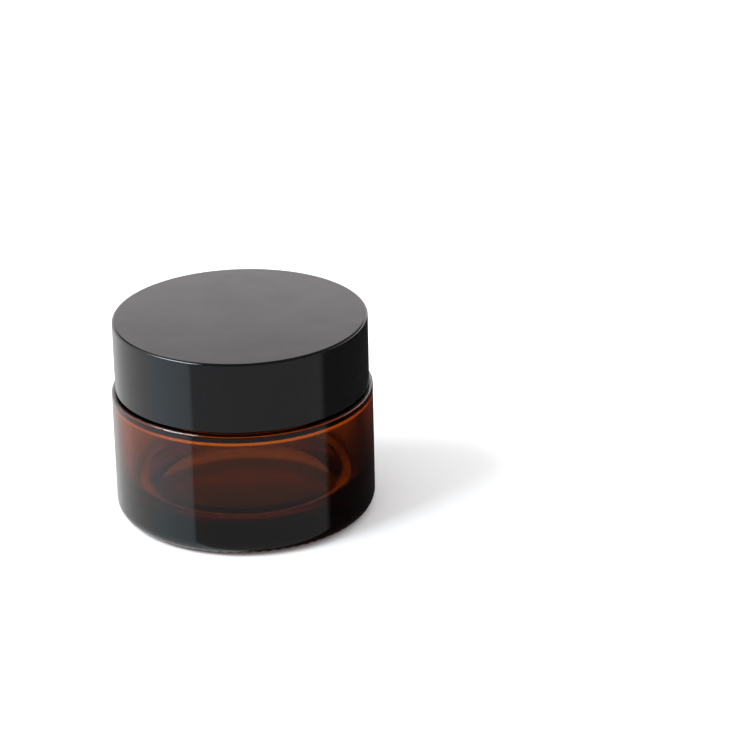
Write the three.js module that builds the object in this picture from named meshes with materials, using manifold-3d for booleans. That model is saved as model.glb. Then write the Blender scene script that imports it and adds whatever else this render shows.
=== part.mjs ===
// Glass cream jar with a screw lid, modelled closed, in millimetres with +Z up.
//
// The origin is the centre of the base, on the plane the jar stands on, and Z is the axis of the jar, the neck
// and the lid. The jar is one piece of thick amber glass. The lid is a glossy cover over a threaded insert, and
// a foam liner lies loose in the insert's ceiling, kept in by a small bead, and seals on the jar's rim.

import * as THREE from 'three';
import { mergeVertices } from 'three/addons/utils/BufferGeometryUtils.js';
import Module from 'manifold-3d';

const wasm = await Module();
wasm.setup();

// Driving dimensions of the glass jar.
const BODY_RADIUS = 31.5;
const WALL = 4;
const FLOOR_THICKNESS = 6;
const FLOOR_CORNER = 6.3;
const HEEL_ROUND = 3.8;
const FOOT_INNER_RADIUS = 25;
const PUSH_UP = 1.2;
const SHOULDER_HEIGHT = 31.6;
const SHOULDER_ROUND = 0.7;
const INNER_SHOULDER_HEIGHT = 28.6;
const INNER_SHOULDER_LEAD = 0.95;
const THROAT_RADIUS = 24.3;
const THROAT_HEIGHT = 30;
const THROAT_LEAD = 1.2;
const COLLAR_FOOT_RADIUS = 28.6;
const COLLAR_RADIUS = 27.8;
const COLLAR_HEIGHT = 33.5;
const COLLAR_LEAD = 0.45;
const NECK_RADIUS = 26.8;
const NECK_FOOT_HEIGHT = 36;
const NECK_FOOT_LEAD = 0.8;
const MOUTH_RADIUS = 23.1;
const MOUTH_FOOT_HEIGHT = 34.8;
const MOUTH_FOOT_LEAD = 0.85;
const RIM_HEIGHT = 45.9;
const RIM_ROUND = 1.2;

// Driving dimensions of the lid, and the gaps left between pieces.
const COVER_RADIUS = 30.65;
const COVER_WALL = 1.2;
const COVER_CEILING = 1;
const COVER_EDGE_ROUND = 0.6;
const COVER_LIP_ROUND = 0.3;
const INSERT_WALL = 0.8;
const INSERT_CEILING = 0.9;
const INSERT_RECESS = 1;
const LINER_THICKNESS = 1;
const LINER_RADIUS = 27.6;
const LINER_BEAD = 0.9;
const SHOULDER_GAP = 0.4;
const SIDE_GAP = 0.3;
const STACK_GAP = 0.2;

// Driving dimensions of the thread: six turns to the inch, right-handed. Angles are in degrees from +X,
// counter-clockwise from above. The jar's ridge starts high at the back right and falls clockwise.
const PITCH = 25.4 / 6;
const JAR_RIDGE = { depth: 1, root: 2, crest: 0.9, highAngle: 70, sweep: 352.5, highZ: 43.2 };
const LID_RIDGE = { depth: 1.2, root: 1.6, crest: 0.7, highAngle: 30, sweep: 502.5 };
const FLANK_GAP = 0.3;
const RIDGE_SINK = 0.4;
const RIDGE_RUN = 20;
const RIDGE_STEP = 7.5;

// How finely curves are divided.
const SIDES = 48;
const CORNER_STEPS = 2;

// Heights and radii that follow from the driving dimensions.
const LINER_BOTTOM = RIM_HEIGHT + STACK_GAP;
const INSERT_CEILING_BOTTOM = LINER_BOTTOM + LINER_THICKNESS + STACK_GAP;
const INSERT_TOP = INSERT_CEILING_BOTTOM + INSERT_CEILING;
const COVER_CEILING_BOTTOM = INSERT_TOP + STACK_GAP;
const COVER_TOP = COVER_CEILING_BOTTOM + COVER_CEILING;
const COVER_BOTTOM = SHOULDER_HEIGHT + SHOULDER_GAP;
const COVER_INNER_RADIUS = COVER_RADIUS - COVER_WALL;
const INSERT_OUTER_RADIUS = COVER_INNER_RADIUS - SIDE_GAP;
const INSERT_INNER_RADIUS = INSERT_OUTER_RADIUS - INSERT_WALL;

const RIGHT = 0;
const UP = Math.PI / 2;
const LEFT = Math.PI;
const DOWN = -Math.PI / 2;

const GLASS = new THREE.MeshStandardMaterial({
  name: 'amber glass', color: 0x5a2c10, roughness: 0.05, metalness: 0, transparent: true, opacity: 0.75,
});
const GLOSSY_BLACK = new THREE.MeshStandardMaterial({
  name: 'glossy black plastic', color: 0x101012, roughness: 0.12, metalness: 0,
});
const SATIN_BLACK = new THREE.MeshStandardMaterial({
  name: 'satin black plastic', color: 0x1a1a1c, roughness: 0.45, metalness: 0,
});
const WHITE_FOAM = new THREE.MeshStandardMaterial({
  name: 'white liner foam', color: 0xe9e7e1, roughness: 0.85, metalness: 0,
});

/** A solid of revolution about Z. The outline's x is radius and its y is height, with material on its left. */
function revolve(outline) {
  return new THREE.LatheGeometry(outline.getPoints(CORNER_STEPS), SIDES).rotateX(Math.PI / 2);
}

/** The same body as a manifold-3d solid, for joining. */
function toSolid(geometry) {
  const bare = geometry.clone();
  bare.deleteAttribute('normal');
  bare.deleteAttribute('uv');
  const merged = mergeVertices(bare, 1e-4);
  const corners = [];
  for (let i = 0; i < merged.index.count; i += 3) {
    const [a, b, c] = [0, 1, 2].map((k) => merged.index.getX(i + k));
    if (a !== b && b !== c && c !== a) corners.push(a, b, c);
  }
  return new wasm.Manifold(new wasm.Mesh({
    numProp: 3,
    vertProperties: new Float32Array(merged.attributes.position.array),
    triVerts: new Uint32Array(corners),
  }));
}

/** A manifold-3d solid as a geometry again. */
function toGeometry(solid) {
  const mesh = solid.getMesh();
  const geometry = new THREE.BufferGeometry();
  geometry.setAttribute('position', new THREE.BufferAttribute(new Float32Array(mesh.vertProperties), 3));
  geometry.setIndex(new THREE.BufferAttribute(new Uint32Array(mesh.triVerts), 1));
  geometry.computeVertexNormals();
  return geometry;
}

/**
 * One screw ridge: a long box bent along the helix, its root sunk in the wall at wallRadius. side is 1 where the
 * ridge stands out from the wall and -1 where it stands in. The ridge runs out to nothing over its first and
 * last RIDGE_RUN degrees.
 */
function screwRidge({ depth, root, crest, highAngle, sweep, highZ }, wallRadius, side) {
  const geometry = new THREE.BoxGeometry(1, 1, 1, 1, 1, Math.round(sweep / RIDGE_STEP));
  const corners = geometry.attributes.position;
  for (let i = 0; i < corners.count; i += 1) {
    const isCrest = corners.getX(i) > 0;
    const along = side > 0 ? 0.5 + corners.getZ(i) : 0.5 - corners.getZ(i);
    const fallen = along * sweep;
    const swell = Math.min(1, fallen / RIDGE_RUN, (sweep - fallen) / RIDGE_RUN);
    const height = isCrest ? depth * (0.1 + 0.9 * swell) : -RIDGE_SINK;
    const width = (isCrest ? crest : root) * (0.5 + 0.5 * swell);
    const radius = wallRadius + side * height;
    const angle = THREE.MathUtils.degToRad(highAngle - fallen);
    const z = highZ - PITCH * fallen / 360 + corners.getY(i) * width;
    corners.setXYZ(i, radius * Math.cos(angle), radius * Math.sin(angle), z);
  }
  return geometry;
}

/** Height of the jar's ridge, or of the helix it lies on, at an angle below its high end's. */
function jarRidgeHeight(angle) {
  return JAR_RIDGE.highZ - PITCH * (JAR_RIDGE.highAngle - angle) / 360;
}

/** The lid's ridge lies under the jar's, flank to flank with a small gap, and is longer. */
function lidRidge() {
  const meanWidth = (JAR_RIDGE.root + JAR_RIDGE.crest + LID_RIDGE.root + LID_RIDGE.crest) / 4;
  return { ...LID_RIDGE, highZ: jarRidgeHeight(LID_RIDGE.highAngle) - meanWidth - FLANK_GAP };
}

/** Takes an outline to a corner and round it towards the next, on a curve that starts and ends lead away. */
function turnCorner(outline, corner, next, lead) {
  const before = outline.currentPoint.clone().sub(corner).setLength(lead).add(corner);
  const after = next.clone().sub(corner).setLength(lead).add(corner);
  outline.lineTo(before.x, before.y);
  outline.quadraticCurveTo(corner.x, corner.y, after.x, after.y);
}

/**
 * Underside, outside, rim, inside and floor of the jar, from the axis round to the axis. The collar's side leans
 * in, the neck flares to meet it, and inside the neck widens to a throat above the steep inner shoulder.
 */
function jarOutline() {
  const innerRadius = BODY_RADIUS - WALL;
  const collar = new THREE.Vector2(COLLAR_RADIUS, COLLAR_HEIGHT);
  const neckFoot = new THREE.Vector2(NECK_RADIUS, NECK_FOOT_HEIGHT);
  const neckTop = new THREE.Vector2(NECK_RADIUS, RIM_HEIGHT);
  const mouthFoot = new THREE.Vector2(MOUTH_RADIUS, MOUTH_FOOT_HEIGHT);
  const throat = new THREE.Vector2(THROAT_RADIUS, THROAT_HEIGHT);
  const innerShoulder = new THREE.Vector2(innerRadius, INNER_SHOULDER_HEIGHT);
  const innerFoot = new THREE.Vector2(innerRadius, FLOOR_THICKNESS);
  const outline = new THREE.Path();
  outline.moveTo(0, PUSH_UP);
  outline.quadraticCurveTo(FOOT_INNER_RADIUS * 0.7, PUSH_UP, FOOT_INNER_RADIUS, 0);
  outline.absarc(BODY_RADIUS - HEEL_ROUND, HEEL_ROUND, HEEL_ROUND, DOWN, RIGHT);
  outline.absarc(BODY_RADIUS - SHOULDER_ROUND, SHOULDER_HEIGHT - SHOULDER_ROUND, SHOULDER_ROUND, RIGHT, UP);
  outline.lineTo(COLLAR_FOOT_RADIUS, SHOULDER_HEIGHT);
  turnCorner(outline, collar, neckFoot, COLLAR_LEAD);
  turnCorner(outline, neckFoot, neckTop, NECK_FOOT_LEAD);
  outline.absarc(NECK_RADIUS - RIM_ROUND, RIM_HEIGHT - RIM_ROUND, RIM_ROUND, RIGHT, UP);
  outline.absarc(MOUTH_RADIUS + RIM_ROUND, RIM_HEIGHT - RIM_ROUND, RIM_ROUND, UP, LEFT);
  turnCorner(outline, mouthFoot, throat, MOUTH_FOOT_LEAD);
  turnCorner(outline, throat, innerShoulder, THROAT_LEAD);
  turnCorner(outline, innerShoulder, innerFoot, INNER_SHOULDER_LEAD);
  outline.absarc(innerRadius - FLOOR_CORNER, FLOOR_THICKNESS + FLOOR_CORNER, FLOOR_CORNER, RIGHT, DOWN, true);
  outline.lineTo(0, FLOOR_THICKNESS);
  return outline;
}

function glassJar() {
  const ridge = toSolid(screwRidge(JAR_RIDGE, NECK_RADIUS, 1));
  return toGeometry(toSolid(revolve(jarOutline())).add(ridge));
}

/** A plain cup, open downwards, with rounded outer edges. */
function lidCover() {
  const outline = new THREE.Path();
  outline.moveTo(0, COVER_CEILING_BOTTOM);
  outline.lineTo(COVER_INNER_RADIUS, COVER_CEILING_BOTTOM);
  outline.lineTo(COVER_INNER_RADIUS, COVER_BOTTOM);
  outline.absarc(COVER_RADIUS - COVER_LIP_ROUND, COVER_BOTTOM + COVER_LIP_ROUND, COVER_LIP_ROUND, DOWN, RIGHT);
  outline.absarc(COVER_RADIUS - COVER_EDGE_ROUND, COVER_TOP - COVER_EDGE_ROUND, COVER_EDGE_ROUND, RIGHT, UP);
  outline.lineTo(0, COVER_TOP);
  return revolve(outline);
}

/** A thin cup inside the cover, with the bead that keeps the liner in and the ridge that takes the jar's. */
function lidInsert() {
  const beadRadius = INSERT_INNER_RADIUS - LINER_BEAD;
  const outline = new THREE.Path();
  outline.moveTo(0, INSERT_CEILING_BOTTOM);
  outline.lineTo(INSERT_INNER_RADIUS, INSERT_CEILING_BOTTOM);
  outline.lineTo(INSERT_INNER_RADIUS, RIM_HEIGHT);
  outline.lineTo(beadRadius, RIM_HEIGHT - LINER_BEAD / 3);
  outline.lineTo(INSERT_INNER_RADIUS, RIM_HEIGHT - LINER_BEAD);
  outline.lineTo(INSERT_INNER_RADIUS, COVER_BOTTOM + INSERT_RECESS);
  outline.lineTo(INSERT_OUTER_RADIUS, COVER_BOTTOM + INSERT_RECESS);
  outline.lineTo(INSERT_OUTER_RADIUS, INSERT_TOP);
  outline.lineTo(0, INSERT_TOP);
  const ridge = toSolid(screwRidge(lidRidge(), INSERT_INNER_RADIUS, -1));
  return toGeometry(toSolid(revolve(outline)).add(ridge));
}

function lidLiner() {
  const outline = new THREE.Path();
  outline.moveTo(0, LINER_BOTTOM);
  outline.lineTo(LINER_RADIUS, LINER_BOTTOM);
  outline.lineTo(LINER_RADIUS, LINER_BOTTOM + LINER_THICKNESS);
  outline.lineTo(0, LINER_BOTTOM + LINER_THICKNESS);
  return revolve(outline);
}

/** A named mesh of the jar. */
function piece(name, geometry, material) {
  const mesh = new THREE.Mesh(geometry, material);
  mesh.name = name;
  return mesh;
}

const lid = new THREE.Group();
lid.add(
  piece('lid_cover', lidCover(), GLOSSY_BLACK),
  piece('lid_insert', lidInsert(), SATIN_BLACK),
  piece('lid_liner', lidLiner(), WHITE_FOAM),
);

const creamJar = new THREE.Group();
creamJar.name = 'cream_jar';
creamJar.add(piece('glass_jar', glassJar(), GLASS), lid);

export default creamJar;
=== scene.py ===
"""Looks of a glass cream jar with a screw lid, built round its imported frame.

The jar, the lid's shell, its threaded cup and its seal are each one closed surface: an outline turned about
Z, with the thread, the foot's knurling and the seal's dent worked into the same grid. Sizes are in
millimetres and are scaled to metres when a mesh is made.
"""

import logging
import math
from collections.abc import Callable, Sequence
from dataclasses import dataclass, field
from enum import Enum

import bpy
import numpy as np
from mathutils import Matrix, Vector


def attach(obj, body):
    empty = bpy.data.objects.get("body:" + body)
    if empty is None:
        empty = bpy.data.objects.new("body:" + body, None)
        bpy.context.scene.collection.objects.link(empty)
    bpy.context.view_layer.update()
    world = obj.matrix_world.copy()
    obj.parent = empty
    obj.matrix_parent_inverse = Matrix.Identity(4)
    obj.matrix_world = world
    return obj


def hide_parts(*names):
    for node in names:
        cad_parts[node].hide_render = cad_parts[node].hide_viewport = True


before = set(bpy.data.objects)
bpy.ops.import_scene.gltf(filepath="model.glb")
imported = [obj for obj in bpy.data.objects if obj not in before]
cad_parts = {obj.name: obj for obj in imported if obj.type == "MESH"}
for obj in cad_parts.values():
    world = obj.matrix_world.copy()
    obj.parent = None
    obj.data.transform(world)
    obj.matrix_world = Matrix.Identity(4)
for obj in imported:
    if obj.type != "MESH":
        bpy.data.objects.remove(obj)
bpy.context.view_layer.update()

LOG = logging.getLogger("cream_jar")
MM = 0.001

Grid = np.ndarray
Relief = Callable[[Grid, Grid, Grid], tuple[Grid, Grid]]
Colour = tuple[float, float, float]

WHITE: Colour = (1.0, 1.0, 1.0)
BLACK: Colour = (0.0, 0.0, 0.0)


class Body(Enum):
    """The moving bodies of the frame."""

    JAR = "jar"
    LINER = "liner"
    LID = "lid"


class Slot(Enum):
    """Names of the material slots; nothing in the script uses them."""

    GLASS = "amber_glass"
    GLOSS = "lid_gloss"
    INSERT = "insert_plastic"
    FOAM = "liner_foam"


class Side(Enum):
    """Which way a screw ridge stands from its wall."""

    OUTWARDS = 1.0
    INWARDS = -1.0


# --------------------------------------------------
# Outlines and surfaces
# --------------------------------------------------


@dataclass(frozen=True)
class Corner:
    """A corner of an outline, rounded off.

    The rounding leaves the side before the corner lead_in away from it, and meets the side after it
    lead_out away, or lead_in away when lead_out is not given.
    """

    radius: float
    height: float
    lead_in: float = 0.0
    lead_out: float | None = None
    rows: int = 8
    straight_rows: int = 1


# A straight run is held by a point this far from each of its ends, in millimetres.
HOLD = 0.06
# Two points of an outline closer than this are one point.
TOUCHING = 1e-6
# A grid point this near a wall lies on it, in millimetres.
NEAR_WALL = 0.05


def conic_arc(start: Grid, corner: Grid, end: Grid, rows: int) -> Grid:
    """Points on the arc that leaves start towards corner and reaches end from corner.

    The arc is a conic whose weight is the cosine of half the turn, so it is a circle's arc when both ends
    are the same distance from the corner.

    Args:
        start: First point, (radius, height).
        corner: Where the two sides would meet.
        end: Last point.
        rows: Number of steps along the arc.

    Returns:
        An array of rows + 1 points.
    """
    before = (corner - start) / np.linalg.norm(corner - start)
    after = (end - corner) / np.linalg.norm(end - corner)
    turn = math.acos(float(np.clip(before @ after, -1.0, 1.0)))
    weight = math.cos(turn / 2)
    t = np.linspace(0.0, 1.0, rows + 1)[:, None]
    blend = (1 - t) ** 2 + 2 * weight * t * (1 - t) + t**2
    return ((1 - t) ** 2 * start + 2 * weight * t * (1 - t) * corner + t**2 * end) / blend


def straight_run(start: Grid, end: Grid, rows: int) -> Grid:
    """Points strictly between start and end: one close to each end, and rows equal steps between those.

    Args:
        start: End of the arc before.
        end: Start of the arc after.
        rows: Number of steps between the two holding points.

    Returns:
        The points, or none where the run is too short to need any.
    """
    length = float(np.linalg.norm(end - start))
    if length < 4 * HOLD:
        return np.empty((0, 2))
    share = HOLD / length
    t = np.linspace(share, 1 - share, rows + 1)[:, None]
    return start + t * (end - start)


def rounded_outline(corners: Sequence[Corner]) -> Grid:
    """The outline through the corners, each rounded by its conic arc, starting and ending on the axis.

    Args:
        corners: The corners in order, with the material on the left of the way round.

    Returns:
        An array of (radius, height) points in millimetres.
    """
    spots = np.array([(c.radius, c.height) for c in corners])
    sides = np.diff(spots, axis=0)
    units = sides / np.linalg.norm(sides, axis=1)[:, None]
    parts = [spots[:1]]
    reached = spots[0]
    for index in range(1, len(corners) - 1):
        corner = corners[index]
        lead_out = corner.lead_in if corner.lead_out is None else corner.lead_out
        start = spots[index] - corner.lead_in * units[index - 1]
        end = spots[index] + lead_out * units[index]
        parts.append(straight_run(reached, start, corners[index - 1].straight_rows))
        arc = conic_arc(start, spots[index], end, corner.rows)
        touching = float(np.linalg.norm(start - reached)) < TOUCHING
        parts.append(arc[1:] if touching else arc)
        reached = end
    parts.append(straight_run(reached, spots[-1], corners[-2].straight_rows))
    parts.append(spots[-1:])
    return np.vstack(parts)


def hump(value: Grid, low: float, high: float) -> Grid:
    """A raised cosine: 0 outside low and high, and 1 half-way between them.

    Args:
        value: Where to take it.
        low: Where it starts.
        high: Where it ends.

    Returns:
        Its height at each value.
    """
    share = np.clip((value - low) / (high - low), 0.0, 1.0)
    return 0.5 - 0.5 * np.cos(2 * np.pi * share)


def smooth(share: Grid) -> Grid:
    """A half cosine that rises from 0 to 1 as share goes from 0 to 1.

    Args:
        share: How far along it is; below 0 and above 1 it is held.

    Returns:
        Its height at each share.
    """
    return 0.5 - 0.5 * np.cos(np.pi * np.clip(share, 0.0, 1.0))


def revolve(name: str, outline: Grid, columns: int, relief: Relief | None = None) -> bpy.types.Object:
    """Turns an outline about Z into one closed, smooth mesh.

    Point (i, j) is (r cos a, r sin a, z), where r and z are the outline's at row i, a is 2 pi j / columns,
    and relief may move r and z as a function of r, z and a. The first and last rows are single points on
    the axis.

    Args:
        name: The piece's name.
        outline: (radius, height) rows in millimetres, from the axis round to the axis.
        columns: Number of divisions round the axis.
        relief: Gives the moved radius and height grids from the radius, height and angle grids.

    Returns:
        The new object, at the origin.
    """
    angle = np.linspace(0.0, 2 * np.pi, columns, endpoint=False)[None, :]
    radius = np.repeat(outline[1:-1, :1], columns, axis=1)
    height = np.repeat(outline[1:-1, 1:], columns, axis=1)
    angle = np.repeat(angle, len(radius), axis=0)
    if relief is not None:
        radius, height = relief(radius, height, angle)
    rings = np.stack([radius * np.cos(angle), radius * np.sin(angle), height], axis=-1).reshape(-1, 3)
    poles = np.array([(0.0, 0.0, outline[0, 1]), (0.0, 0.0, outline[-1, 1])])
    points = np.vstack([rings, poles]) * MM

    ring_count = len(radius)
    index = np.arange(ring_count * columns).reshape(ring_count, columns)
    after = np.roll(index, -1, axis=1)
    quads = np.stack([index[:-1], after[:-1], after[1:], index[1:]], axis=-1).reshape(-1, 4)
    first = np.full(columns, ring_count * columns)
    start_fan = np.stack([first, after[0], index[0]], axis=-1)
    end_fan = np.stack([index[-1], after[-1], first + 1], axis=-1)

    corners = np.concatenate([quads.ravel(), start_fan.ravel(), end_fan.ravel()]).astype(np.int32)
    lengths = np.concatenate([np.full(len(quads), 4), np.full(2 * columns, 3)])
    starts = np.concatenate([[0], np.cumsum(lengths)[:-1]]).astype(np.int32)
    mesh = bpy.data.meshes.new(name)
    mesh.vertices.add(len(points))
    mesh.vertices.foreach_set("co", points.astype(np.float32).ravel())
    mesh.loops.add(len(corners))
    mesh.loops.foreach_set("vertex_index", corners)
    mesh.polygons.add(len(starts))
    mesh.polygons.foreach_set("loop_start", starts)
    mesh.update(calc_edges=True)
    mesh.polygons.foreach_set("use_smooth", np.ones(len(starts), dtype=bool))
    mesh.validate()
    piece = bpy.data.objects.new(name, mesh)
    bpy.context.scene.collection.objects.link(piece)
    return piece


# --------------------------------------------------
# Shader building
# --------------------------------------------------


class NodeSheet:
    """A node tree, with short calls that add and join nodes."""

    def __init__(self, tree: bpy.types.NodeTree) -> None:
        """Keeps the tree, emptied."""
        self.tree = tree
        self.tree.nodes.clear()

    def add(self, kind: str, settings: dict | None = None, **values: object) -> bpy.types.Node:
        """Adds a node.

        Args:
            kind: Blender's name for the node's type.
            settings: The node's own properties.
            values: Input values or sockets, named with underscores for spaces.

        Returns:
            The node.
        """
        node = self.tree.nodes.new(kind)
        for name, value in (settings or {}).items():
            setattr(node, name, value)
        for name, value in values.items():
            self.feed(node.inputs[name.replace("_", " ")], value)
        return node

    def feed(self, socket: bpy.types.NodeSocket, value: object) -> None:
        """Links value to the socket if it is a socket, and sets it as the socket's own value if not.

        Args:
            socket: The input to feed.
            value: A plain value or an output socket.
        """
        if isinstance(value, bpy.types.NodeSocket):
            self.tree.links.new(value, socket)
        else:
            socket.default_value = value

    def math(self, operation: str, *values: object) -> bpy.types.NodeSocket:
        """Works out one operation.

        Args:
            operation: Blender's name for it.
            values: Its plain values or sockets, in order.

        Returns:
            The result's socket.
        """
        node = self.add("ShaderNodeMath", {"operation": operation})
        for socket, value in zip(node.inputs, values):
            self.feed(socket, value)
        return node.outputs[0]

    def span(
        self, value: object, low: float, high: float, to_low: float, to_high: float
    ) -> bpy.types.NodeSocket:
        """Moves a value smoothly from one range to another, and holds it at the ends.

        Args:
            value: The value's socket.
            low: Start of its own range.
            high: End of its own range.
            to_low: What it becomes at low and below.
            to_high: What it becomes at high and above.

        Returns:
            The moved value's socket.
        """
        node = self.add("ShaderNodeMapRange", {"interpolation_type": "SMOOTHSTEP"})
        for socket, number in zip(node.inputs, (value, low, high, to_low, to_high)):
            self.feed(socket, number)
        return node.outputs[0]

    def mix(self, share: object, first: object, second: object, way: str = "MIX") -> bpy.types.NodeSocket:
        """Blends two colours.

        Args:
            share: How far to go from first to second.
            first: A colour or its socket.
            second: A colour or its socket.
            way: Blender's name for how they combine.

        Returns:
            The blended colour.
        """
        node = self.add("ShaderNodeMix", {"data_type": "RGBA", "blend_type": way})
        self.feed(node.inputs[0], share)
        self.feed(node.inputs[6], first)
        self.feed(node.inputs[7], second)
        return node.outputs[2]


def rgba(colour: Colour) -> tuple[float, float, float, float]:
    """Returns the colour with full alpha."""
    return (*colour, 1.0)


def shader_group(
    name: str, inputs: dict[str, float], outputs: Sequence[str]
) -> tuple[NodeSheet, dict, bpy.types.Node]:
    """Starts a shader node group on Object coordinates.

    Args:
        name: The group's name.
        inputs: Its float inputs and their usual values.
        outputs: The names of its float outputs.

    Returns:
        The sheet, its input sockets by name (with Vector among them), and its output node.
    """
    tree = bpy.data.node_groups.new(name, "ShaderNodeTree")
    tree.interface.new_socket("Vector", in_out="INPUT", socket_type="NodeSocketVector")
    for label, value in inputs.items():
        made = tree.interface.new_socket(label, in_out="INPUT", socket_type="NodeSocketFloat")
        made.default_value = value
    for label in outputs:
        tree.interface.new_socket(label, in_out="OUTPUT", socket_type="NodeSocketFloat")
    sheet = NodeSheet(tree)
    source = sheet.add("NodeGroupInput")
    return sheet, {s.name: s for s in source.outputs if s.name}, sheet.add("NodeGroupOutput")


def moulded_group() -> bpy.types.NodeTree:
    """The slow waviness and the fine orange peel of a moulded surface.

    Height is a broad noise plus a share of a fine one, both of Object coordinates.

    Returns:
        The node group, with inputs Wave Scale, Peel Scale and Peel Share and output Height.
    """
    sheet, taken, out = shader_group(
        "moulded_surface", {"Wave Scale": 60.0, "Peel Scale": 900.0, "Peel Share": 0.1}, ["Height"]
    )
    wave = sheet.add("ShaderNodeTexNoise", Vector=taken["Vector"], Scale=taken["Wave Scale"], Detail=1.0)
    peel = sheet.add("ShaderNodeTexNoise", Vector=taken["Vector"], Scale=taken["Peel Scale"], Detail=2.0)
    fine = sheet.math("MULTIPLY", peel.outputs[0], taken["Peel Share"])
    sheet.feed(out.inputs["Height"], sheet.math("ADD", wave.outputs[0], fine))
    return sheet.tree


# Scratches run along two directions, turned by these angles in radians, and are drawn out by these factors.
SCRATCH_TURNS = (0.5, 2.2)
SCRATCH_STRETCH = (9000.0, 90.0, 300.0)
# The part of each noise that becomes a mark, from where it starts to where it is full.
SCRATCH_CUT = (0.72, 0.8)
SMUDGE_CUT = (0.42, 0.68)
# A cell holds a speck of dust when its own random value is above this.
DUST_CUT = 0.9


def handling_group() -> bpy.types.NodeTree:
    """Marks that handling leaves: hairline scratches, soft smudges and specks of dust.

    Scratches are two noises stretched along lines that cross, cut off near their tops. Smudges are a noise
    of fingertip size. Dust is a small dot in some of the cells of a Voronoi pattern.

    Returns:
        The node group, with inputs Smudge Scale, Dust Scale and Dust Size and outputs Scratches, Smudges
        and Dust.
    """
    sheet, taken, out = shader_group(
        "handling_marks",
        {"Smudge Scale": 70.0, "Dust Scale": 420.0, "Dust Size": 0.06},
        ["Scratches", "Smudges", "Dust"],
    )
    lines = []
    for turn in SCRATCH_TURNS:
        turned = sheet.add("ShaderNodeMapping", Vector=taken["Vector"], Rotation=(0.0, 0.0, turn))
        stretched = sheet.add("ShaderNodeVectorMath", {"operation": "MULTIPLY"})
        sheet.feed(stretched.inputs[0], turned.outputs[0])
        sheet.feed(stretched.inputs[1], SCRATCH_STRETCH)
        noise = sheet.add("ShaderNodeTexNoise", Vector=stretched.outputs[0], Scale=1.0, Detail=0.0)
        lines.append(sheet.span(noise.outputs[0], *SCRATCH_CUT, 0.0, 1.0))
    sheet.feed(out.inputs["Scratches"], sheet.math("MAXIMUM", *lines))
    smudge = sheet.add(
        "ShaderNodeTexNoise", Vector=taken["Vector"], Scale=taken["Smudge Scale"], Detail=4.0
    )
    sheet.feed(out.inputs["Smudges"], sheet.span(smudge.outputs[0], *SMUDGE_CUT, 0.0, 1.0))
    cells = sheet.add("ShaderNodeTexVoronoi", Vector=taken["Vector"], Scale=taken["Dust Scale"])
    chosen = sheet.add("ShaderNodeSeparateColor", Color=cells.outputs["Color"])
    dot = sheet.math("LESS_THAN", cells.outputs["Distance"], taken["Dust Size"])
    kept = sheet.math("GREATER_THAN", chosen.outputs[0], DUST_CUT)
    sheet.feed(out.inputs["Dust"], sheet.math("MULTIPLY", dot, kept))
    return sheet.tree


@dataclass
class Effects:
    """The node groups that the finishes share, built once."""

    moulded: bpy.types.NodeTree = field(default_factory=moulded_group)
    handling: bpy.types.NodeTree = field(default_factory=handling_group)


@dataclass
class Surface:
    """A material being made: its sheet, its Principled shader, its output and its Object coordinates."""

    material: bpy.types.Material
    sheet: NodeSheet
    shader: bpy.types.Node
    output: bpy.types.Node
    place: bpy.types.NodeSocket

    @classmethod
    def start(cls, name: str) -> "Surface":
        """Makes a material with a Principled shader joined to its output.

        Args:
            name: The material's name.

        Returns:
            The surface, ready to be given its values.
        """
        material = bpy.data.materials.new(name)
        material.use_nodes = True
        sheet = NodeSheet(material.node_tree)
        shader = sheet.add("ShaderNodeBsdfPrincipled")
        output = sheet.add("ShaderNodeOutputMaterial", Surface=shader.outputs[0])
        place = sheet.add("ShaderNodeTexCoord").outputs["Object"]
        return cls(material, sheet, shader, output, place)

    def group(self, tree: bpy.types.NodeTree, **values: object) -> bpy.types.Node:
        """Places a shared effect in this material.

        Args:
            tree: The effect's node group.
            values: Its input values, named with underscores for spaces.

        Returns:
            The group's node.
        """
        node = self.sheet.add("ShaderNodeGroup", {"node_tree": tree}, Vector=self.place)
        for name, value in values.items():
            self.sheet.feed(node.inputs[name.replace("_", " ")], value)
        return node

    def bump(self, height: bpy.types.NodeSocket, depth: float) -> None:
        """Feeds the shader's Normal from a height.

        Args:
            height: The height's socket, from 0 to 1.
            depth: What 1 stands for, in metres.
        """
        node = self.sheet.add("ShaderNodeBump", Height=height, Distance=depth, Strength=1.0)
        self.sheet.feed(self.shader.inputs["Normal"], node.outputs[0])

    def set(self, **values: object) -> None:
        """Sets or feeds the Principled shader's inputs."""
        for name, value in values.items():
            self.sheet.feed(self.shader.inputs[name.replace("_", " ")], value)


# --------------------------------------------------
# Finishes
# --------------------------------------------------


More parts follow.
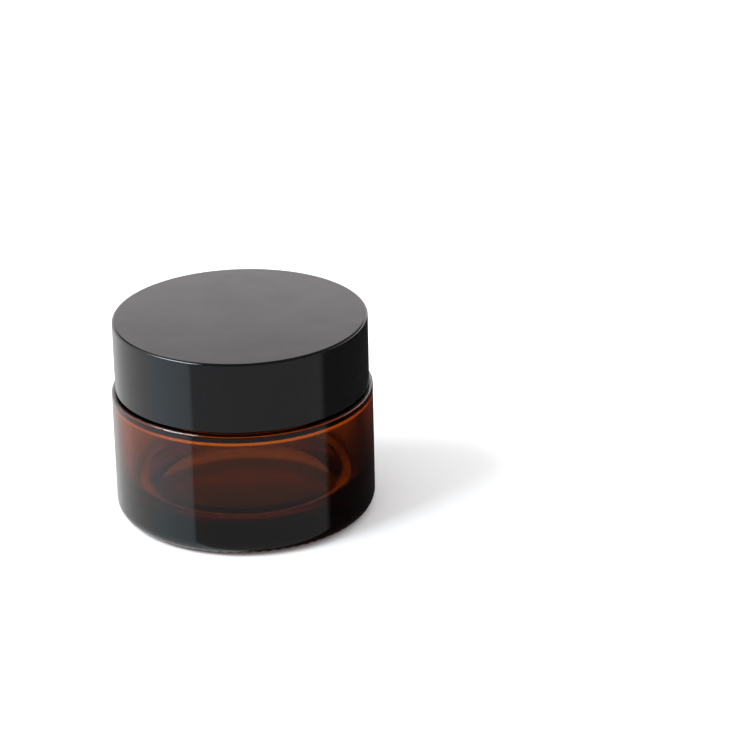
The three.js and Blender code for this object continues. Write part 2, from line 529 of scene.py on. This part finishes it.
@dataclass(frozen=True)
class AmberGlass:
    """Thick pressed glass, coloured right through: it takes out blue, then green, then a little red."""

    ior: float = 1.52
    roughness: float = 0.012
    tint: Colour = (0.943, 0.829, 0.029)
    density: float = 1750.0
    wave_scale: float = 55.0
    wave_depth: float = 0.00007
    peel_scale: float = 210.0
    peel_share: float = 0.004
    seam_width: float = 0.00012
    seam_share: float = 0.25

    def build(self, effects: Effects) -> bpy.types.Material:
        """Makes the glass, with waviness and the mould's two seams in its bump.

        Args:
            effects: The shared node groups.

        Returns:
            The material.
        """
        made = Surface.start("amber_glass")
        made.set(Base_Color=rgba(WHITE), Transmission_Weight=1.0)
        made.set(IOR=self.ior, Roughness=self.roughness)
        absorb = made.sheet.add("ShaderNodeVolumeAbsorption", Color=rgba(self.tint), Density=self.density)
        made.sheet.feed(made.output.inputs["Volume"], absorb.outputs[0])
        cast = made.group(
            effects.moulded,
            Wave_Scale=self.wave_scale,
            Peel_Scale=self.peel_scale,
            Peel_Share=self.peel_share,
        )
        across = made.sheet.add("ShaderNodeSeparateXYZ", Vector=made.place).outputs[1]
        off_seam = made.sheet.math("ABSOLUTE", across)
        seam = made.sheet.span(off_seam, 0.0, self.seam_width, self.seam_share, 0.0)
        made.bump(made.sheet.math("ADD", cast.outputs[0], seam), self.wave_depth)
        return made.material


@dataclass(frozen=True)
class GlossPlastic:
    """Black plastic moulded in a polished tool, with faint smudges, hairlines and a little dust."""

    colour: Colour = (0.0045, 0.0045, 0.005)
    dust: Colour = (0.09, 0.09, 0.085)
    ior: float = 1.5
    roughness: float = 0.07
    smudged: float = 0.05
    scratched: float = 0.12
    wave_scale: float = 110.0
    peel_scale: float = 1400.0
    peel_share: float = 0.12
    peel_depth: float = 0.000012

    def build(self, effects: Effects) -> bpy.types.Material:
        """Makes the gloss plastic.

        Args:
            effects: The shared node groups.

        Returns:
            The material.
        """
        made = Surface.start("gloss_black_plastic")
        marks = made.group(effects.handling)
        rough = made.sheet.math("MULTIPLY_ADD", marks.outputs["Smudges"], self.smudged, self.roughness)
        rough = made.sheet.math("MULTIPLY_ADD", marks.outputs["Scratches"], self.scratched, rough)
        made.set(
            Base_Color=made.sheet.mix(marks.outputs["Dust"], rgba(self.colour), rgba(self.dust)),
            Roughness=rough,
            IOR=self.ior,
        )
        cast = made.group(
            effects.moulded,
            Wave_Scale=self.wave_scale,
            Peel_Scale=self.peel_scale,
            Peel_Share=self.peel_share,
        )
        made.bump(cast.outputs[0], self.peel_depth)
        return made.material


@dataclass(frozen=True)
class SatinPlastic:
    """Black plastic from an etched tool: a fine even grain, worn a little smoother in patches."""

    colour: Colour = (0.011, 0.011, 0.012)
    worn: Colour = (0.022, 0.022, 0.023)
    ior: float = 1.49
    roughness: float = 0.38
    polished: float = -0.1
    smudge_scale: float = 110.0
    wave_scale: float = 140.0
    grain_scale: float = 2600.0
    grain_share: float = 0.8
    grain_depth: float = 0.00003

    def build(self, effects: Effects) -> bpy.types.Material:
        """Makes the satin plastic.

        Args:
            effects: The shared node groups.

        Returns:
            The material.
        """
        made = Surface.start("satin_black_plastic")
        smudges = made.group(effects.handling, Smudge_Scale=self.smudge_scale).outputs["Smudges"]
        made.set(
            Base_Color=made.sheet.mix(smudges, rgba(self.colour), rgba(self.worn)),
            Roughness=made.sheet.math("MULTIPLY_ADD", smudges, self.polished, self.roughness),
            IOR=self.ior,
        )
        cast = made.group(
            effects.moulded,
            Wave_Scale=self.wave_scale,
            Peel_Scale=self.grain_scale,
            Peel_Share=self.grain_share,
        )
        made.bump(cast.outputs[0], self.grain_depth)
        return made.material


@dataclass(frozen=True)
class LinerFoam:
    """White closed-cell foam with a thin skin: fine cells, slightly yellowed between them."""

    colour: Colour = (0.8, 0.785, 0.745)
    between: Colour = (0.66, 0.64, 0.59)
    roughness: float = 0.62
    smudged: float = 0.12
    smudge_scale: float = 160.0
    softness: float = 0.25
    soft_reach: float = 0.0006
    cell_scale: float = 2400.0
    cell_depth: float = 0.00006
    cell_cut: tuple[float, float] = (0.1, 0.8)

    def build(self, effects: Effects) -> bpy.types.Material:
        """Makes the foam.

        Args:
            effects: The shared node groups.

        Returns:
            The material.
        """
        made = Surface.start("white_liner_foam")
        cells = made.sheet.add("ShaderNodeTexVoronoi", Vector=made.place, Scale=self.cell_scale)
        smudges = made.group(effects.handling, Smudge_Scale=self.smudge_scale).outputs["Smudges"]
        shade = made.sheet.span(cells.outputs["Distance"], *self.cell_cut, 0.0, 1.0)
        made.set(
            Base_Color=made.sheet.mix(shade, rgba(self.colour), rgba(self.between)),
            Roughness=made.sheet.math("MULTIPLY_ADD", smudges, self.smudged, self.roughness),
            Subsurface_Weight=self.softness,
            Subsurface_Scale=self.soft_reach,
        )
        made.bump(cells.outputs["Distance"], self.cell_depth)
        return made.material


def dress(piece: bpy.types.Object, material: bpy.types.Material, body: Body, node: str) -> None:
    """Gives a piece its finish and its body, and hides the CAD node that it stands for.

    Args:
        piece: The finished piece.
        material: Its finish.
        body: The body that it rides on.
        node: The CAD node that it replaces.
    """
    piece.data.materials.append(material)
    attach(piece, body.value)
    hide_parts(node)


# --------------------------------------------------
# The jar and the lid
# --------------------------------------------------


@dataclass(frozen=True)
class ScrewRidge:
    """A screw ridge on a round wall. Angles are in degrees from +X, anticlockwise from above."""

    depth: float
    root: float
    crest: float
    high_angle: float
    sweep: float
    high_z: float
    pitch: float = 25.4 / 6
    run_out: float = 9.0

    def relief(self, height: Grid, angle: Grid, side: Side) -> Grid:
        """How far the ridge moves each point of its wall outwards.

        The ridge's middle falls one pitch a turn from high_z at high_angle. Its height is its depth times a
        half cosine of the distance from the middle, between half the crest and half the root, times a half
        cosine over its first and last run_out degrees. Where turns overlap, the higher one counts.

        Args:
            height: The grid's heights.
            angle: The grid's angles, in radians.
            side: Which way the ridge stands.

        Returns:
            The relief in millimetres.
        """
        first_turn = np.mod(self.high_angle - np.degrees(angle), 360.0)
        standing = np.zeros_like(height)
        for turn in range(math.ceil(self.sweep / 360.0)):
            fallen = first_turn + 360.0 * turn
            off = np.abs(height - (self.high_z - self.pitch * fallen / 360.0))
            flank = smooth((self.root / 2 - off) / (self.root / 2 - self.crest / 2))
            swell = smooth(np.minimum(fallen, self.sweep - fallen) / self.run_out)
            standing = np.maximum(standing, self.depth * flank * swell)
        return side.value * standing


JAR_RIDGE = ScrewRidge(depth=1.0, root=2.0, crest=0.9, high_angle=70.0, sweep=352.5, high_z=43.2)
# Room between the two ridges' flanks, in millimetres.
FLANK_GAP = 0.3


def lid_ridge() -> ScrewRidge:
    """The lid's ridge: flank to flank under the jar's, with a small gap, and longer.

    Returns:
        The ridge.
    """
    depth, root, crest = 1.2, 1.6, 0.7
    high_angle, sweep = 30.0, 502.5
    on_jar = JAR_RIDGE.high_z - JAR_RIDGE.pitch * (JAR_RIDGE.high_angle - high_angle) / 360.0
    mean_width = (JAR_RIDGE.root + JAR_RIDGE.crest + root + crest) / 4
    return ScrewRidge(depth, root, crest, high_angle, sweep, on_jar - mean_width - FLANK_GAP)


@dataclass
class GlassJar:
    """The jar: one piece of thick glass, from its pushed-up base to its rounded rim."""

    body_radius: float = 31.5
    wall: float = 4.0
    floor_thickness: float = 6.0
    floor_corner: float = 6.3
    heel_round: float = 3.8
    foot_inner_radius: float = 25.0
    foot_lead: float = 0.8
    push_up: float = 1.2
    dome_share: float = 0.7
    shoulder_height: float = 31.6
    shoulder_round: float = 0.7
    ledge_fillet: float = 0.4
    collar_foot_radius: float = 28.6
    collar_radius: float = 27.8
    collar_height: float = 33.5
    collar_lead: float = 0.45
    neck_radius: float = 26.8
    neck_foot_height: float = 36.0
    neck_foot_lead: float = 0.8
    mouth_radius: float = 23.1
    mouth_foot_height: float = 34.8
    mouth_foot_lead: float = 0.85
    throat_radius: float = 24.3
    throat_height: float = 30.0
    throat_lead: float = 1.2
    inner_shoulder_height: float = 28.6
    inner_shoulder_lead: float = 0.95
    rim_height: float = 45.9
    rim_round: float = 1.2
    knurls: int = 78
    knurl_depth: float = 0.45
    knurl_inner: float = 26.4
    knurl_outer: float = 31.0
    columns_per_knurl: int = 6
    finish: AmberGlass = field(default_factory=AmberGlass)

    def outline(self) -> Grid:
        """Underside, heel, wall, shoulder, collar, neck, rim, mouth, throat, inner shoulder and floor.

        Returns:
            The outline's (radius, height) points in millimetres.
        """
        inner_radius = self.body_radius - self.wall
        dome_corner = self.foot_inner_radius * self.dome_share
        dome_out = math.hypot(self.foot_inner_radius - dome_corner, self.push_up) - self.foot_lead
        return rounded_outline([
            Corner(0.0, self.push_up),
            Corner(dome_corner, self.push_up, dome_corner, dome_out, rows=10),
            Corner(self.foot_inner_radius, 0.0, self.foot_lead, rows=3, straight_rows=6),
            Corner(self.body_radius, 0.0, self.heel_round, rows=18),
            Corner(self.body_radius, self.shoulder_height, self.shoulder_round, rows=8),
            Corner(self.collar_foot_radius, self.shoulder_height, self.ledge_fillet, rows=4),
            Corner(self.collar_radius, self.collar_height, self.collar_lead, rows=6, straight_rows=2),
            Corner(self.neck_radius, self.neck_foot_height, self.neck_foot_lead, rows=8, straight_rows=54),
            Corner(self.neck_radius, self.rim_height, self.rim_round, rows=8),
            Corner(self.mouth_radius, self.rim_height, self.rim_round, rows=8),
            Corner(
                self.mouth_radius, self.mouth_foot_height, self.mouth_foot_lead, rows=6, straight_rows=2
            ),
            Corner(self.throat_radius, self.throat_height, self.throat_lead, rows=9),
            Corner(inner_radius, self.inner_shoulder_height, self.inner_shoulder_lead, rows=9),
            Corner(inner_radius, self.floor_thickness, self.floor_corner, rows=12, straight_rows=3),
            Corner(0.0, self.floor_thickness),
        ])

    def relief(self, radius: Grid, height: Grid, angle: Grid) -> tuple[Grid, Grid]:
        """Adds the screw ridge on the neck, and raises the valleys of the knurling under the foot.

        A valley rises by knurl_depth times a raised cosine of the radius across the foot, times a raised
        cosine of the angle with one period a knurl.

        Args:
            radius: The grid's radii.
            height: The grid's heights.
            angle: The grid's angles, in radians.

        Returns:
            The moved radii and heights.
        """
        above_foot = height > self.neck_foot_height + self.neck_foot_lead
        on_neck = above_foot & (radius > self.neck_radius - NEAR_WALL)
        radius = np.where(on_neck, radius + JAR_RIDGE.relief(height, angle, Side.OUTWARDS), radius)
        under = height < self.heel_round / 2
        valley = 0.5 - 0.5 * np.cos(self.knurls * angle)
        lift = self.knurl_depth * valley * hump(radius, self.knurl_inner, self.knurl_outer)
        return radius, np.where(under, height + lift, height)

    def build(self, effects: Effects) -> bpy.types.Object:
        """Makes the glass and dresses it.

        Args:
            effects: The shared node groups.

        Returns:
            The dressed piece.
        """
        columns = self.knurls * self.columns_per_knurl
        piece = revolve("jar_glass", self.outline(), columns, self.relief)
        dress(piece, self.finish.build(effects), Body.JAR, "glass_jar")
        return piece


@dataclass
class Liner:
    """The foam disc that seals on the rim, with the ring that the rim has pressed into it."""

    rim_height: float = 45.9
    gap: float = 0.2
    thickness: float = 1.0
    radius: float = 27.6
    edge_round: float = 0.25
    dent_inner: float = 22.8
    dent_outer: float = 27.1
    dent_depth: float = 0.1
    columns: int = 234
    finish: LinerFoam = field(default_factory=LinerFoam)

    def relief(self, radius: Grid, height: Grid, angle: Grid) -> tuple[Grid, Grid]:
        """Raises the underside by a raised cosine of the radius where the rim presses.

        Args:
            radius: The grid's radii.
            height: The grid's heights.
            angle: The grid's angles, not used here.

        Returns:
            The radii and the moved heights.
        """
        under = height < self.rim_height + self.gap + self.thickness / 2
        dent = self.dent_depth * hump(radius, self.dent_inner, self.dent_outer)
        return radius, np.where(under, height + dent, height)

    def build(self, effects: Effects) -> bpy.types.Object:
        """Makes the disc and dresses it.

        Args:
            effects: The shared node groups.

        Returns:
            The dressed piece.
        """
        bottom = self.rim_height + self.gap
        top = bottom + self.thickness
        outline = rounded_outline([
            Corner(0.0, bottom, straight_rows=48),
            Corner(self.radius, bottom, self.edge_round, rows=5),
            Corner(self.radius, top, self.edge_round, rows=5, straight_rows=4),
            Corner(0.0, top),
        ])
        piece = revolve("lid_seal_disc", outline, self.columns, self.relief)
        dress(piece, self.finish.build(effects), Body.LINER, "lid_liner")
        return piece


@dataclass
class Lid:
    """The lid: a glossy shell over a threaded cup."""

    shell_radius: float = 30.65
    shell_wall: float = 1.2
    shell_top: float = 49.4
    shell_ceiling: float = 1.0
    shell_bottom: float = 32.0
    top_round: float = 0.6
    lip_round: float = 0.3
    lip_inner_round: float = 0.2
    ceiling_fillet: float = 0.25
    side_gap: float = 0.3
    stack_gap: float = 0.2
    cup_wall: float = 0.8
    cup_ceiling: float = 0.9
    cup_recess: float = 1.0
    cup_fillet: float = 0.2
    cup_lip_inner_round: float = 0.15
    cup_lip_outer_round: float = 0.2
    cup_top_round: float = 0.4
    bead_root_round: float = 0.12
    bead_tip_round: float = 0.14
    bead: float = 0.9
    bead_height: float = 45.9
    columns: int = 312
    gloss: GlossPlastic = field(default_factory=GlossPlastic)
    satin: SatinPlastic = field(default_factory=SatinPlastic)

    def shell(self, effects: Effects) -> bpy.types.Object:
        """Makes the shell: a plain cup, open downwards, with rounded edges.

        Args:
            effects: The shared node groups.

        Returns:
            The dressed piece.
        """
        inside = self.shell_radius - self.shell_wall
        outline = rounded_outline([
            Corner(0.0, self.shell_top - self.shell_ceiling),
            Corner(inside, self.shell_top - self.shell_ceiling, self.ceiling_fillet, rows=4),
            Corner(inside, self.shell_bottom, self.lip_inner_round, rows=4),
            Corner(self.shell_radius, self.shell_bottom, self.lip_round, rows=6, straight_rows=4),
            Corner(self.shell_radius, self.shell_top, self.top_round, rows=10, straight_rows=8),
            Corner(0.0, self.shell_top),
        ])
        piece = revolve("lid_shell", outline, self.columns)
        dress(piece, self.gloss.build(effects), Body.LID, "lid_cover")
        return piece

    def thread_relief(self, radius: Grid, height: Grid, angle: Grid) -> tuple[Grid, Grid]:
        """Adds the lid's screw ridge to the inside wall, standing inwards.

        Args:
            radius: The grid's radii.
            height: The grid's heights.
            angle: The grid's angles, in radians.

        Returns:
            The moved radii and the heights.
        """
        inside = self.shell_radius - self.shell_wall - self.side_gap - self.cup_wall
        on_wall = (np.abs(radius - inside) < NEAR_WALL) & (height < self.bead_height - self.bead)
        ridge = lid_ridge().relief(height, angle, Side.INWARDS)
        return np.where(on_wall, radius + ridge, radius), height

    def cup(self, effects: Effects) -> bpy.types.Object:
        """Makes the threaded cup, with the small bead that keeps the seal in.

        Args:
            effects: The shared node groups.

        Returns:
            The dressed piece.
        """
        outside = self.shell_radius - self.shell_wall - self.side_gap
        inside = outside - self.cup_wall
        top = self.shell_top - self.shell_ceiling - self.stack_gap
        ceiling = top - self.cup_ceiling
        lip = self.shell_bottom + self.cup_recess
        outline = rounded_outline([
            Corner(0.0, ceiling),
            Corner(inside, ceiling, self.cup_fillet, rows=4),
            Corner(inside, self.bead_height, self.bead_root_round, rows=3),
            Corner(inside - self.bead, self.bead_height - self.bead / 3, self.bead_tip_round, rows=4),
            Corner(inside, self.bead_height - self.bead, self.bead_root_round, rows=3, straight_rows=64),
            Corner(inside, lip, self.cup_lip_inner_round, rows=3),
            Corner(outside, lip, self.cup_lip_outer_round, rows=4),
            Corner(outside, top, self.cup_top_round, rows=5),
            Corner(0.0, top),
        ])
        piece = revolve("lid_thread_cup", outline, self.columns, self.thread_relief)
        dress(piece, self.satin.build(effects), Body.LID, "lid_insert")
        return piece


# --------------------------------------------------
# Studio
# --------------------------------------------------


@dataclass(frozen=True)
class Stop:
    """A grey or tinted level at a place on a ramp: an angle in degrees or a distance in millimetres."""

    place: float
    level: float
    tint: Colour = WHITE


COOL: Colour = (0.86, 1.0, 1.1)
WARM: Colour = (1.04, 0.98, 1.0)
# Number of sides of a flat round of the stage.
DISC_SIDES = 96


@dataclass
class Studio:
    """A pale floor, soft light from all round, and the camera."""

    white: float = 0.955
    # The floor's size and the drop of the one seen through glass, in metres.
    floor_radius: float = 20.0
    floor_drop: float = 0.00005
    floor_roughness: float = 0.9
    peak: float = 20.0
    # Where the two halves of the studio meet: this much above and below the horizon, as a sine.
    horizon: float = 0.05
    # What the sides of the pieces mirror below the horizon, by angle from the front towards the left.
    around: tuple[Stop, ...] = (
        Stop(-180.0, 0.12),
        Stop(-172.0, 0.03, WARM),
        Stop(-82.0, 0.03, WARM),
        Stop(-76.0, 0.36),
        Stop(44.0, 0.37),
        Stop(46.0, 0.98, COOL),
        Stop(80.0, 1.1, COOL),
        Stop(96.0, 1.0),
        Stop(150.0, 1.05),
        Stop(165.0, 0.8),
        Stop(174.0, 0.15),
        Stop(180.0, 0.12),
    )
    # The lit backdrop, by height above the horizon, and how much of it stands at each angle.
    backdrop: tuple[Stop, ...] = (
        Stop(0.0, 1.5, WARM),
        Stop(18.0, 1.7, WARM),
        Stop(21.3, 1.52, WARM),
        Stop(22.1, 1.28, WARM),
        Stop(22.9, 1.08, WARM),
        Stop(23.4, 0.8, WARM),
        Stop(24.1, 0.5),
        Stop(25.1, 0.38),
        Stop(26.2, 0.12),
        Stop(90.0, 0.08),
    )
    backdrop_share: tuple[Stop, ...] = (
        Stop(-180.0, 1.0),
        Stop(-110.0, 1.0),
        Stop(-80.0, 0.15),
        Stop(60.0, 0.15),
        Stop(100.0, 1.0),
        Stop(180.0, 1.0),
    )
    # The window beside the jar, above the horizon, by angle from the front towards the left.
    beside: tuple[Stop, ...] = (
        Stop(-180.0, 0.0),
        Stop(44.0, 0.0),
        Stop(46.0, 16.0, (0.88, 0.97, 1.05)),
        Stop(84.0, 16.0, (0.91, 1.0, 1.04)),
        Stop(100.0, 2.0),
        Stop(150.0, 0.0),
        Stop(180.0, 0.0),
    )
    sill_level: float = 0.04
    beside_sill: tuple[float, float] = (26.0, 36.0)
    beside_top: tuple[float, float] = (50.0, 60.0)
    # The glowing floor seen through the glass, by distance from the jar's axis: painted shade under and
    # near the jar, a faint painted ring of light at its foot, then pale.
    floor_painted_light_and_shade: tuple[Stop, ...] = (
        Stop(0.0, 0.0),
        Stop(26.0, 0.0),
        Stop(28.5, 0.16),
        Stop(32.0, 0.16),
        Stop(36.0, 0.1),
        Stop(42.0, 0.1),
        Stop(50.0, 0.2),
        Stop(64.0, 0.45),
        Stop(73.0, 0.6),
        Stop(110.0, 1.0),
    )
    # How much of its level shows at each angle from the front towards the left: on the right it is cut down
    # to a painted shade.
    floor_painted_side_shade: tuple[Stop, ...] = (
        Stop(-180.0, 1.0),
        Stop(-150.0, 0.75),
        Stop(-120.0, 0.12),
        Stop(-60.0, 0.12),
        Stop(-40.0, 1.0),
        Stop(180.0, 1.0),
    )
    # The camera: aim and distance in millimetres, angles in degrees, nearest seen in metres.
    near: float = 0.01
    lens: float = 157.8
    sensor: float = 36.0
    aim: tuple[float, float, float] = (32.05, -1.5, 33.62)
    distance: float = 791.4
    pitch: float = 23.24
    roll: float = -1.234

    def camera(self) -> None:
        """Makes the camera, looking down by pitch from the front and rolled a little."""
        down, turned = math.radians(self.pitch), math.radians(self.roll)
        back = Vector((0.0, -math.cos(down), math.sin(down)))
        up = Vector((0.0, math.sin(down), math.cos(down)))
        right = Vector((1.0, 0.0, 0.0))
        across = right * math.cos(turned) + up * math.sin(turned)
        upright = up * math.cos(turned) - right * math.sin(turned)
        data = bpy.data.cameras.new("camera")
        data.lens = self.lens
        data.sensor_width = self.sensor
        data.clip_start = self.near
        data.clip_end = 2 * self.floor_radius
        camera = bpy.data.objects.new("camera", data)
        place = (Vector(self.aim) + back * self.distance) * MM
        turn = Matrix((across, upright, back)).transposed().to_4x4()
        camera.matrix_world = Matrix.Translation(place) @ turn
        bpy.context.scene.collection.objects.link(camera)
        bpy.context.scene.camera = camera

    @staticmethod
    def disc(name: str, radius: float, height: float) -> bpy.types.Object:
        """Makes a flat round of the stage.

        Args:
            name: Its name.
            radius: Its radius, in metres.
            height: Its height, in metres.

        Returns:
            The round.
        """
        angle = np.linspace(0.0, 2 * np.pi, DISC_SIDES, endpoint=False)
        level = np.full(DISC_SIDES, height)
        ring = np.stack([radius * np.cos(angle), radius * np.sin(angle), level], axis=-1)
        mesh = bpy.data.meshes.new(name)
        mesh.from_pydata(ring, [], [np.arange(DISC_SIDES)])
        piece = bpy.data.objects.new(name, mesh)
        bpy.context.scene.collection.objects.link(piece)
        return piece

    def floor(self) -> None:
        """Makes the pale floor, which only the camera and soft light see."""
        floor = self.disc("floor", self.floor_radius, 0.0)
        floor.visible_glossy = False
        floor.visible_transmission = False
        made = Surface.start("pale_floor")
        made.set(Base_Color=rgba((self.white,) * 3), Roughness=self.floor_roughness)
        made.set(Specular_IOR_Level=0.0)
        floor.data.materials.append(made.material)

    def painted_floor_through_glass(self) -> None:
        """Makes the floor that shows through the glass, a glowing disc with painted light and shade: dark
        in the jar's own painted shade, a faint painted ring of light at the foot, then pale.
        """
        under = self.disc("painted_floor_through_glass", self.floor_radius, -self.floor_drop)
        under.visible_camera = False
        under.visible_diffuse = False
        under.visible_glossy = False
        under.visible_shadow = False
        material = bpy.data.materials.new("painted_floor_through_glass")
        material.use_nodes = True
        sheet = NodeSheet(material.node_tree)
        place = sheet.add("ShaderNodeTexCoord").outputs["Object"]
        length = sheet.add("ShaderNodeVectorMath", {"operation": "LENGTH"})
        sheet.feed(length.inputs[0], place)
        off_axis = length.outputs["Value"]
        # The disc's glow is painted shade near the jar and a painted ring of light at its foot.
        level = self.ramp(sheet, off_axis, self.floor_painted_light_and_shade, MM, 1.0)
        # Painted shade on the right side, multiplied into the disc's glow.
        share = self.ramp(sheet, self.turned(sheet, place), self.floor_painted_side_shade, math.radians(1.0), 1.0)
        level = sheet.mix(1.0, level, share, "MULTIPLY")
        glow = sheet.add("ShaderNodeEmission", Color=level, Strength=1.0)
        sheet.add("ShaderNodeOutputMaterial", Surface=glow.outputs[0])
        under.data.materials.append(material)

    @staticmethod
    def turned(sheet: NodeSheet, way: bpy.types.NodeSocket) -> bpy.types.NodeSocket:
        """Works out an angle round Z, from the front towards the left.

        Args:
            sheet: Where the nodes go.
            way: The direction or place whose angle it is.

        Returns:
            The angle's socket, in radians.
        """
        parts = sheet.add("ShaderNodeSeparateXYZ", Vector=way).outputs
        to_left = sheet.math("MULTIPLY", parts[0], -1.0)
        return sheet.math("ARCTAN2", to_left, sheet.math("MULTIPLY", parts[1], -1.0))

    @staticmethod
    def ramp(
        sheet: NodeSheet, value: bpy.types.NodeSocket, stops: Sequence[Stop], unit: float, peak: float
    ) -> bpy.types.NodeSocket:
        """Places a colour ramp over a value.

        Args:
            sheet: Where the nodes go.
            value: The value, an angle in radians or a distance in metres.
            stops: The ramp's stops.
            unit: One of the stops' own units, in radians or metres.
            peak: The level that the ramp gives as full white.

        Returns:
            The ramp's colour.
        """
        low, high = stops[0].place, stops[-1].place
        share = sheet.add("ShaderNodeMapRange")
        for socket, number in zip(share.inputs, (value, low * unit, high * unit, 0.0, 1.0)):
            sheet.feed(socket, number)
        node = sheet.add("ShaderNodeValToRGB", Fac=share.outputs[0])
        marks = node.color_ramp.elements
        while len(marks) < len(stops):
            marks.new(0.5)
        for mark, stop in zip(marks, stops):
            mark.position = (stop.place - low) / (high - low)
            mark.color = rgba(tuple(stop.level / peak * part for part in stop.tint))
        return node.outputs[0]

    def sky(self) -> None:
        """Makes the light all round.

        The camera and soft light see plain white. Mirrored and refracted rays see a studio: below the
        horizon a level by angle round the jar, above it a level by height with the window added, mixed over
        a few degrees at the horizon.
        """
        world = bpy.data.worlds.new("studio")
        world.use_nodes = True
        bpy.context.scene.world = world
        sheet = NodeSheet(world.node_tree)
        way = sheet.add("ShaderNodeTexCoord").outputs["Generated"]
        parts = sheet.add("ShaderNodeSeparateXYZ", Vector=way).outputs
        turned = self.turned(sheet, way)
        rise = sheet.math("ARCSINE", parts[2])
        degree = math.radians(1.0)
        around = self.ramp(sheet, turned, self.around, degree, self.peak)
        beside = self.ramp(sheet, turned, self.beside, degree, self.peak)
        share = self.ramp(sheet, turned, self.backdrop_share, degree, 1.0)
        lit_back = self.ramp(sheet, rise, self.backdrop, degree, self.peak)
        backdrop = sheet.mix(1.0, lit_back, share, "MULTIPLY")
        sill, over = (
            sheet.span(rise, math.radians(low), math.radians(high), *levels)
            for (low, high), levels in (
                (self.beside_sill, (self.sill_level, 1.0)),
                (self.beside_top, (1.0, 0.0)),
            )
        )
        window = sheet.mix(sheet.math("MULTIPLY", sill, over), rgba(BLACK), beside)
        above = sheet.mix(1.0, backdrop, window, "LIGHTEN")
        studio = sheet.mix(sheet.span(parts[2], -self.horizon, self.horizon, 0.0, 1.0), around, above)
        seen = sheet.add("ShaderNodeBackground", Color=studio, Strength=self.peak)
        plain = sheet.add("ShaderNodeBackground", Color=rgba(WHITE), Strength=self.white)
        soft = sheet.add("ShaderNodeBackground", Color=rgba(WHITE), Strength=1.0)
        path = sheet.add("ShaderNodeLightPath").outputs
        lit = sheet.add("ShaderNodeMixShader", Fac=path["Is Diffuse Ray"])
        sheet.feed(lit.inputs[1], seen.outputs[0])
        sheet.feed(lit.inputs[2], soft.outputs[0])
        shown = sheet.add("ShaderNodeMixShader", Fac=path["Is Camera Ray"])
        sheet.feed(shown.inputs[1], lit.outputs[0])
        sheet.feed(shown.inputs[2], plain.outputs[0])
        sheet.add("ShaderNodeOutputWorld", Surface=shown.outputs[0])

    def build(self) -> None:
        """Makes the stage and sets how light is followed through thick glass."""
        self.camera()
        self.floor()
        self.painted_floor_through_glass()
        self.sky()
        scene = bpy.context.scene
        scene.view_settings.view_transform = "Standard"
        scene.cycles.max_bounces = 28
        scene.cycles.transmission_bounces = 24
        scene.cycles.glossy_bounces = 12
        scene.cycles.caustics_refractive = True
        scene.cycles.caustics_reflective = True


def main() -> None:
    """Builds the stage and the pieces."""
    logging.basicConfig(level=logging.INFO, format="%(name)s: %(message)s")
    Studio().build()
    effects = Effects()
    lid = Lid()
    for make in (GlassJar().build, Liner().build, lid.shell, lid.cup):
        piece = make(effects)
        mesh = piece.data
        triangles = sum(len(face.vertices) - 2 for face in mesh.polygons)
        LOG.info("%s: %d vertices, %d triangles", piece.name, len(mesh.vertices), triangles)
    bpy.context.view_layer.update()


if __name__ == "__main__":
    main()
